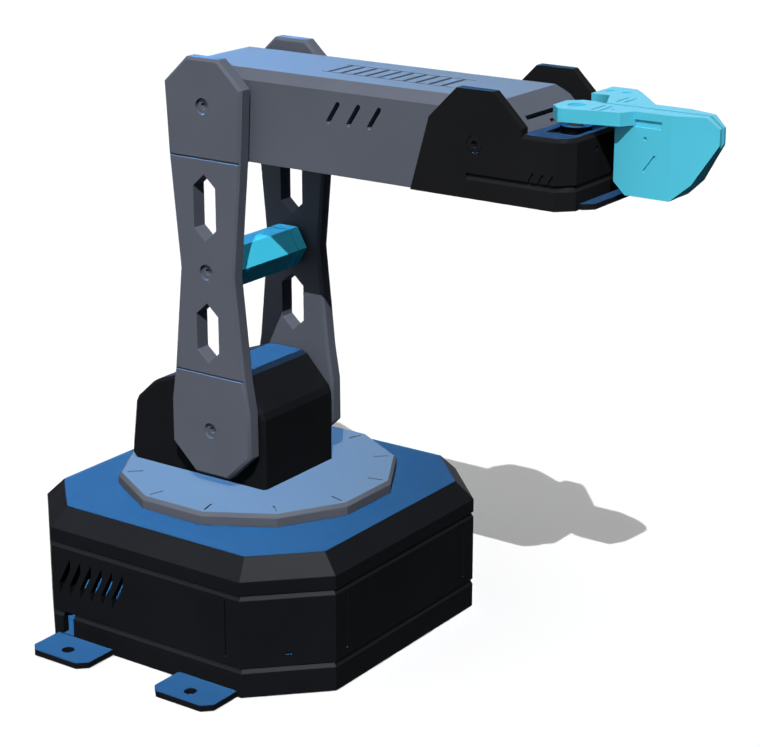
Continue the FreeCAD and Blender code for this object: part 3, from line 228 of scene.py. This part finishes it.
# screws on show are coated in the colour of what they hold
greyCoatLook = dict(greyLook, deep=(0.100, 0.112, 0.140), pale=(0.118, 0.131, 0.164))
blackCoatLook = dict(wristLook, deep=(0.012, 0.013, 0.015), pale=(0.016, 0.017, 0.020), gloss=0.0001)
cyanCoatLook = dict(cyanLook, deep=(0.060, 0.390, 0.525), pale=(0.068, 0.420, 0.562))
greyCoat = mouldedPlastic("greyScrewCoat", greyCoatLook)
blackCoat = mouldedPlastic("blackScrewCoat", blackCoatLook)
cyanCoat = mouldedPlastic("cyanScrewCoat", cyanCoatLook)


lineStrength = 0.3


# turned or brushed metal, drawn matt: fine lines stretched round the part
def workedMetal(name, look):
    material, tree, shader = startMaterial(name)
    mapping = tree.nodes.new("ShaderNodeMapping")
    mapping.inputs["Scale"].default_value = look["stretch"]
    tree.links.new(objectCoordinates(tree), mapping.inputs["Vector"])
    lines = noiseField(tree, mapping.outputs["Vector"], look["lineScale"], lineDetail, roughNoise)
    tree.links.new(blendedColour(tree, lines, look["deep"], look["pale"]), shader.inputs["Base Color"])
    rough = remapped(tree, lines, noiseLow, noiseHigh, look["roughLow"], look["roughHigh"])
    tree.links.new(rough, shader.inputs["Roughness"])
    tree.links.new(bumped(tree, lines, look["lineDepth"], lineStrength), shader.inputs["Normal"])
    shader.inputs["Specular IOR Level"].default_value = look["gloss"]
    return material


steelLook = {
    "deep": (0.42, 0.43, 0.45),
    "pale": (0.56, 0.57, 0.59),
    "stretch": (1.0, 1.0, 1.0),
    "lineScale": 1500.0,
    "lineDepth": 0.01 * mm,
    "roughLow": 0.30,
    "roughHigh": 0.42,
    "gloss": 0.0006,
}
brassLook = {
    "deep": (0.86, 0.60, 0.33),
    "pale": (0.94, 0.68, 0.40),
    "stretch": (1.0, 1.0, 9.0),
    "lineScale": 900.0,
    "lineDepth": 0.01 * mm,
    "roughLow": 0.40,
    "roughHigh": 0.50,
    "gloss": 0.0002,
}
aluminiumLook = {
    "deep": (0.50, 0.51, 0.53),
    "pale": (0.62, 0.63, 0.65),
    "stretch": (1.0, 6.0, 1.0),
    "lineScale": 700.0,
    "lineDepth": 0.01 * mm,
    "roughLow": 0.34,
    "roughHigh": 0.46,
    "gloss": 0.0006,
}
steel = workedMetal("screwSteel", steelLook)
brass = workedMetal("shaftBrass", brassLook)
aluminium = workedMetal("hornAluminium", aluminiumLook)


# the circuit board's lacquer over woven glass
def boardLacquer(name, look):
    material, tree, shader = startMaterial(name)
    weave = tree.nodes.new("ShaderNodeTexWave")
    weave.inputs["Scale"].default_value = look["weaveScale"]
    weave.inputs["Distortion"].default_value = look["distortion"]
    tree.links.new(objectCoordinates(tree), weave.inputs["Vector"])
    threads = weave.outputs["Fac"]
    tree.links.new(blendedColour(tree, threads, look["deep"], look["pale"]), shader.inputs["Base Color"])
    tree.links.new(bumped(tree, threads, look["depth"], look["strength"]), shader.inputs["Normal"])
    shader.inputs["Roughness"].default_value = look["rough"]
    shader.inputs["Specular IOR Level"].default_value = look["gloss"]
    return material


lacquerLook = {"deep": (0.010, 0.085, 0.040), "pale": (0.014, 0.110, 0.052), "weaveScale": 900.0,
               "distortion": 1.5, "depth": 0.02 * mm, "strength": 0.2, "rough": 0.32, "gloss": 0.005}
boardGreen = boardLacquer("boardLacquer", lacquerLook)
print("materials made,", len(bpy.data.materials))


# carried-over nodes take the finish of their slot, apart from the coated screws
slotFinish = {
    "black_shell": blackPlastic,
    "grey_shell": greyPlastic,
    "cyan_shell": jawCyan,
    "brass": brass,
    "servo_case": motorPlastic,
    "micro_servo": microPlastic,
    "horn_metal": aluminium,
    "board": boardGreen,
    "board_parts": boardBlack,
    "cage": cageNylon,
    "steel": steel,
}
coatedScrews = {
    "link_screws": greyCoat,
    "wrist_screws": blackCoat,
    "gripper_servo_screws": blackCoat,
    "gripper_center_screw": cyanCoat,
    "fixed_jaw_pins": cyanCoat,
}


def finishNodes():
    for part in frame["record"]["subparts"]:
        node = frame["nodes"][part["node"]]
        slotName = part["material_slot"]
        node.data.materials.clear()
        node.data.materials.append(coatedScrews.get(part["node"], slotFinish[slotName]))


finishNodes()
print("carried-over nodes finished")


shellRules = {"weld": 0.001 * mm, "flat": math.radians(0.5), "corner": math.radians(25), "sharp": 24,
              "segments": 2, "profile": 0.5}


# a moulded shell: the node's own shape with its long outer corners softened
def softenedShell(pieceName, settings):
    source = frame["nodes"][settings["node"]]
    bm = bmesh.new()
    bm.from_mesh(source.data)
    bmesh.ops.remove_doubles(bm, verts=bm.verts, dist=shellRules["weld"])
    bmesh.ops.dissolve_limit(bm, angle_limit=shellRules["flat"], use_dissolve_boundaries=False,
                             verts=bm.verts, edges=bm.edges, delimit=set())
    corners = [edge for edge in bm.edges
               if len(edge.link_faces) == 2 and edge.is_convex
               and edge.calc_face_angle() > shellRules["corner"]
               and edge.calc_length() > settings["shortest"]]
    bmesh.ops.bevel(bm, geom=corners, offset=settings["soften"], offset_type="OFFSET", affect="EDGES",
                    segments=shellRules["segments"], profile=shellRules["profile"], material=-1,
                    clamp_overlap=True)
    mesh = bpy.data.meshes.new(pieceName)
    bm.to_mesh(mesh)
    bm.free()
    mesh.shade_smooth()
    mesh.set_sharp_from_angle(angle=math.radians(settings.get("sharp", shellRules["sharp"])))
    piece = bpy.data.objects.new(pieceName, mesh)
    bpy.context.scene.collection.objects.link(piece)
    piece.data.materials.append(settings["finish"])
    weights = piece.modifiers.new("evenNormals", "WEIGHTED_NORMAL")
    weights.keep_sharp = True
    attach(piece, settings["body"])
    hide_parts(settings["node"])
    print(pieceName, "softened,", len(corners), "corners,", len(mesh.polygons), "faces")
    return piece


basePlate = {"node": "base_plate", "body": "base", "slot": "black_shell", "finish": plateBlack,
             "soften": 0.16 * mm, "shortest": 2 * mm, "sharp": 10}
softenedShell("basePlate", basePlate)

baseBody = {"node": "base_body", "body": "base", "slot": "black_shell", "finish": blackPlastic,
            "soften": 0.16 * mm, "shortest": 4 * mm, "sharp": 10}
softenedShell("baseBody", baseBody)

baseLid = {"node": "base_lid", "body": "base", "slot": "black_shell", "finish": blackPlastic,
           "soften": 0.16 * mm, "shortest": 4 * mm, "sharp": 10}
softenedShell("baseLid", baseLid)

turntable = {"node": "turntable_disc", "body": "turntable", "slot": "grey_shell", "finish": turntableGrey,
             "soften": 0.14 * mm, "shortest": 4 * mm}
softenedShell("turntable", turntable)

housing = {"node": "shoulder_housing", "body": "turntable", "slot": "black_shell", "finish": housingBlack,
           "soften": 0.14 * mm, "shortest": 2 * mm, "sharp": 10}
softenedShell("shoulderHousing", housing)

nearLink = {"node": "near_link", "body": "upper_arm", "slot": "grey_shell", "finish": greyPlastic,
            "soften": 0.14 * mm, "shortest": 2 * mm}
softenedShell("nearLink", nearLink)

farLink = {"node": "far_link", "body": "upper_arm", "slot": "grey_shell", "finish": greyPlastic,
           "soften": 0.14 * mm, "shortest": 2 * mm}
softenedShell("farLink", farLink)

spacer = {"node": "spacer_bar", "body": "upper_arm", "slot": "cyan_shell", "finish": spacerCyan,
          "soften": 0.12 * mm, "shortest": 2 * mm}
softenedShell("spacerBar", spacer)

forearm = {"node": "forearm_shell", "body": "forearm", "slot": "grey_shell", "finish": forearmGrey,
           "soften": 0.14 * mm, "shortest": 2 * mm}
softenedShell("forearmShell", forearm)

forearmFloor = {"node": "forearm_floor", "body": "forearm", "slot": "grey_shell", "finish": greyPlastic,
                "soften": 0.12 * mm, "shortest": 4 * mm}
softenedShell("forearmFloor", forearmFloor)

wristBracket = {"node": "wrist_bracket", "body": "wrist", "slot": "black_shell", "finish": wristBlack,
                "soften": 0.12 * mm, "shortest": 2 * mm}
softenedShell("wristBracket", wristBracket)

wristFloor = {"node": "wrist_floor", "body": "wrist", "slot": "black_shell", "finish": wristBlack,
              "soften": 0.12 * mm, "shortest": 2 * mm}
softenedShell("wristFloor", wristFloor)

fixedJaw = {"node": "fixed_jaw", "body": "wrist", "slot": "cyan_shell", "finish": jawCyan,
            "soften": 0.12 * mm, "shortest": 2 * mm}
softenedShell("fixedJaw", fixedJaw)

movingJaw = {"node": "moving_jaw", "body": "jaw", "slot": "cyan_shell", "finish": jawCyan,
             "soften": 0.12 * mm, "shortest": 2 * mm}
softenedShell("movingJaw", movingJaw)


# floor, light and camera

floorLook = {"radius": 14.0, "sides": 96, "drop": 0.3 * mm, "colour": (0.83, 0.83, 0.83), "glow": 0.05}


def whiteFloor(settings):
    bm = bmesh.new()
    bmesh.ops.create_circle(bm, cap_ends=True, radius=settings["radius"], segments=settings["sides"])
    bmesh.ops.translate(bm, verts=bm.verts, vec=(0, 0, -settings["drop"]))
    mesh = bpy.data.meshes.new("floor")
    bm.to_mesh(mesh)
    bm.free()
    floor = bpy.data.objects.new("floor", mesh)
    bpy.context.scene.collection.objects.link(floor)
    material, tree, shader = startMaterial("whiteFloor")
    shader.inputs["Base Color"].default_value = (*settings["colour"], 1)
    shader.inputs["Roughness"].default_value = 1.0
    shader.inputs["Specular IOR Level"].default_value = 0.0
    shader.inputs["Emission Color"].default_value = (1, 1, 1, 1)
    shader.inputs["Emission Strength"].default_value = settings["glow"]
    mesh.materials.append(material)
    floor.visible_diffuse = False  # the white sheet doesn't light the arm from below


whiteFloor(floorLook)

skyLook = {"brightSide": (-0.60, -0.75, 0.25), "bright": (0.52, 0.52, 0.52), "dim": (0.012, 0.015, 0.022),
           "dimUpTo": 0.05, "brightFrom": 0.9}


# white to the eye and in mirrors, and for soft light a sky that is bright on one side only
def paleSky(settings):
    world = bpy.data.worlds.new("paleSky")
    bpy.context.scene.world = world
    world.use_nodes = True
    tree = world.node_tree
    tree.nodes.clear()
    output = tree.nodes.new("ShaderNodeOutputWorld")
    path = tree.nodes.new("ShaderNodeLightPath")
    seen = tree.nodes.new("ShaderNodeMath")
    seen.operation = "MAXIMUM"
    tree.links.new(path.outputs["Is Camera Ray"], seen.inputs[0])
    tree.links.new(path.outputs["Is Glossy Ray"], seen.inputs[1])
    seenThrough = tree.nodes.new("ShaderNodeMath")
    seenThrough.operation = "MAXIMUM"
    tree.links.new(seen.outputs["Value"], seenThrough.inputs[0])
    tree.links.new(path.outputs["Is Transmission Ray"], seenThrough.inputs[1])
    facing = tree.nodes.new("ShaderNodeVectorMath")
    facing.operation = "DOT_PRODUCT"
    facing.inputs[1].default_value = settings["brightSide"]
    tree.links.new(tree.nodes.new("ShaderNodeTexCoord").outputs["Generated"], facing.inputs[0])
    lit = tree.nodes.new("ShaderNodeBackground")
    level = blendedColour(tree, facing.outputs["Value"], settings["dim"], settings["bright"],
                          settings["dimUpTo"], settings["brightFrom"])
    tree.links.new(level, lit.inputs["Color"])
    white = tree.nodes.new("ShaderNodeBackground")
    white.inputs["Color"].default_value = (1, 1, 1, 1)
    mix = tree.nodes.new("ShaderNodeMixShader")
    tree.links.new(seenThrough.outputs["Value"], mix.inputs["Fac"])
    tree.links.new(lit.outputs["Background"], mix.inputs[1])
    tree.links.new(white.outputs["Background"], mix.inputs[2])
    tree.links.new(mix.outputs["Shader"], output.inputs["Surface"])


paleSky(skyLook)

sunLook = {"towards": (0.365, -0.55, 0.75), "strength": 3.15, "angle": 0.25}


def keySun(settings):
    light = bpy.data.lights.new("keySun", "SUN")
    light.energy = settings["strength"]
    light.angle = math.radians(settings["angle"])
    sun = bpy.data.objects.new("keySun", light)
    bpy.context.scene.collection.objects.link(sun)
    sun.rotation_euler = Vector(settings["towards"]).to_track_quat("Z", "Y").to_euler()


keySun(sunLook)

fillLook = {"strength": 0.85}


# an even fill from straight above, which casts no shadow of its own
def topFill(settings):
    light = bpy.data.lights.new("topFill", "SUN")
    light.energy = settings["strength"]
    light.use_shadow = False
    fill = bpy.data.objects.new("topFill", light)
    bpy.context.scene.collection.objects.link(fill)
    fill.visible_glossy = False


topFill(fillLook)


# a panel that shows only as a sheen
def sheenPanel(name, settings):
    light = bpy.data.lights.new(name, "AREA")
    light.shape = "RECTANGLE"
    light.size, light.size_y = settings["size"]
    light.color = settings["colour"]
    light.energy = settings["power"]
    light.use_shadow = False
    light.cycles.use_multiple_importance_sampling = False
    panel = bpy.data.objects.new(name, light)
    bpy.context.scene.collection.objects.link(panel)
    panel.location = settings["place"]
    panel.rotation_euler = Vector(settings["place"]).to_track_quat("Z", "Y").to_euler()
    panel.visible_camera = False
    panel.visible_diffuse = False


# low blue panels round the arm light the upward faces, by their turn from the brightest one in degrees
panelLook = {"ring": 2.5, "height": 1.46, "brightest": 137, "size": (1.11, 0.9), "colour": (0.06, 0.37, 1.0),
             "power": {0: 1600.0, -24: 680.0, 72: 240.0, 96: 400.0, 120: 800.0, 144: 800.0, 168: 800.0,
                       192: 800.0, 216: 800.0}}


def bluePanels(settings):
    for turn, power in settings["power"].items():
        azimuth = math.radians(settings["brightest"] + turn)
        ring = settings["ring"]
        place = (math.cos(azimuth) * ring, math.sin(azimuth) * ring, settings["height"])
        sheenPanel("bluePanel", dict(settings, place=place, power=power))


bluePanels(panelLook)

overheadLook = {"place": (0.86, -0.26, 2.33), "size": (1.2, 1.2), "colour": (0.88, 0.93, 1.0),
                "power": 4000.0}
sheenPanel("overheadPanel", overheadLook)

leftLook = {"place": (-1.36, -0.79, 1.94), "size": (1.2, 1.2), "colour": (1.0, 0.97, 0.93), "power": 520.0}
sheenPanel("leftPanel", leftLook)

shot = {"place": (0.4864, -0.6114, 0.3525), "azimuth": 35.06, "elevation": 18.23, "lens": 101.5,
        "sensor": 36.0, "nearest": 0.01, "farthest": 60.0}


def photoCamera(settings):
    data = bpy.data.cameras.new("photoCamera")
    data.lens = settings["lens"]
    data.sensor_width = settings["sensor"]
    data.clip_start = settings["nearest"]
    data.clip_end = settings["farthest"]
    camera = bpy.data.objects.new("photoCamera", data)
    bpy.context.scene.collection.objects.link(camera)
    camera.location = settings["place"]
    camera.rotation_euler = (math.radians(90 - settings["elevation"]), 0, math.radians(settings["azimuth"]))
    bpy.context.scene.camera = camera


photoCamera(shot)
bpy.context.scene.view_settings.view_transform = "Standard"
print("floor, light and camera placed")

bpy.context.view_layer.update()
